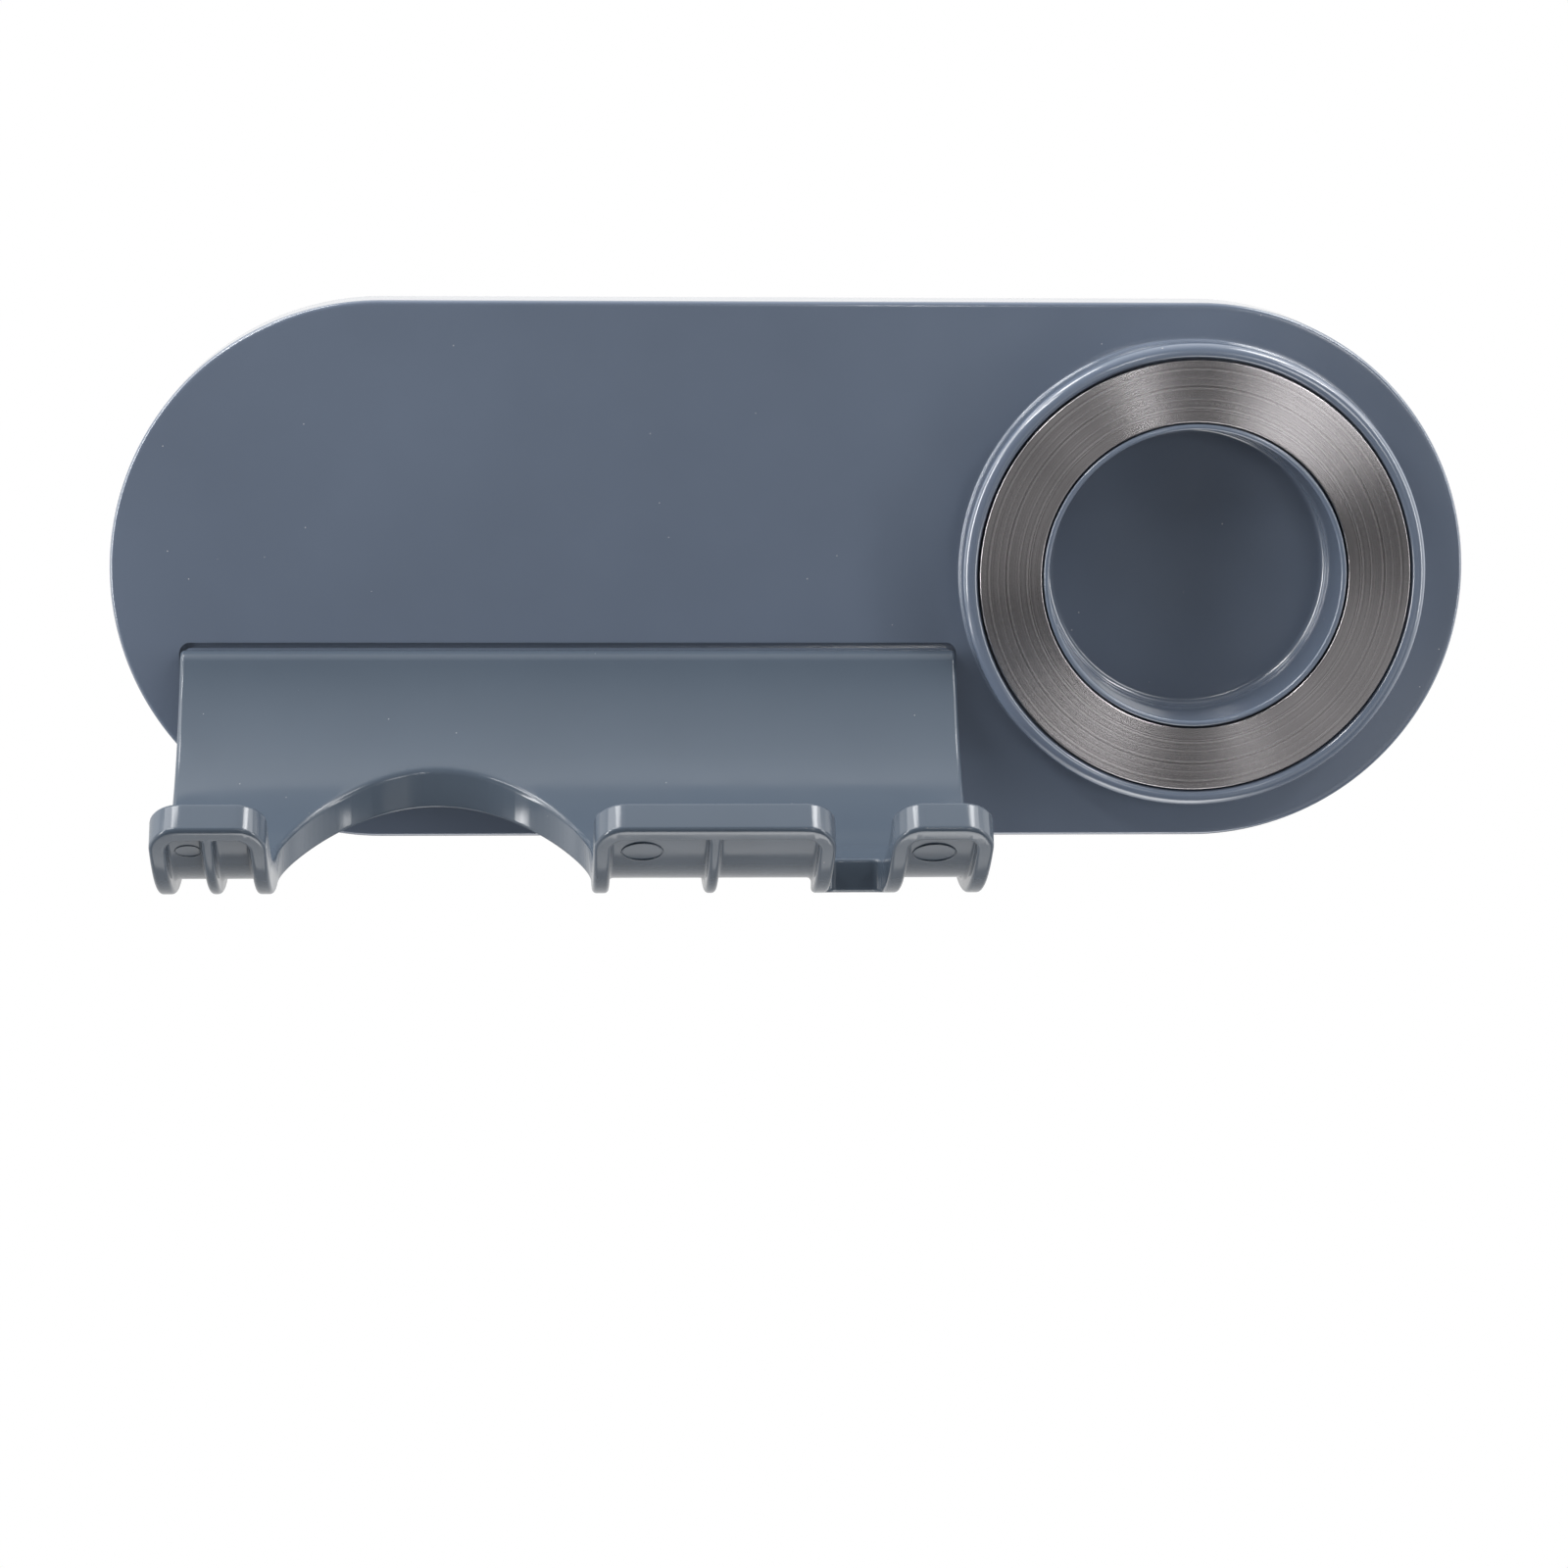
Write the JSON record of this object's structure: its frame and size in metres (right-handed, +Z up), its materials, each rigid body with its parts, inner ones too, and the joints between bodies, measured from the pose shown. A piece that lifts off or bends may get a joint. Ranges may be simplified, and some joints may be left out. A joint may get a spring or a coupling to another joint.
{
  "type": "hair dryer holder",
  "caption": "Wall-mounted hair dryer holder: oblong back plate, curved cradle with handle notch and cord slot, and a round cup with a steel ring for magnetic nozzles.",
  "frame": {"origin": "centre of the middle adhesive pad's wall face, level with the middle of the back plate", "axes": "+X to the right along the back plate, +Y into the wall, +Z up"},
  "size_m": [0.2264, 0.0913, 0.0903],
  "materials": {
    "shell_plastic": "glossy blue-grey moulding",
    "cradle_plastic": "glossy blue-grey moulding",
    "ring_steel": "turned, with concentric lines",
    "tape": "black adhesive tape",
    "cover_plastic": "fine matt texture",
    "screw_steel": "zinc plated",
    "pad_foam": "foam adhesive pad"
  },
  "bodies": {
    "root": {"front_shell": "shell_plastic", "cradle": "cradle_plastic", "steel_ring": "ring_steel", "ring_tape": "tape", "rear_cover": "cover_plastic", "cradle_screw_1": "screw_steel", "cradle_screw_2": "screw_steel", "cradle_screw_3": "screw_steel", "cradle_screw_4": "screw_steel", "cover_screw_1": "screw_steel", "cover_screw_2": "screw_steel", "cover_screw_3": "screw_steel", "cover_screw_4": "screw_steel", "cover_screw_5": "screw_steel", "cover_screw_6": "screw_steel", "adhesive_pad_left": "pad_foam", "adhesive_pad_middle": "pad_foam", "adhesive_pad_right": "pad_foam"}
  },
  "joints": []
}
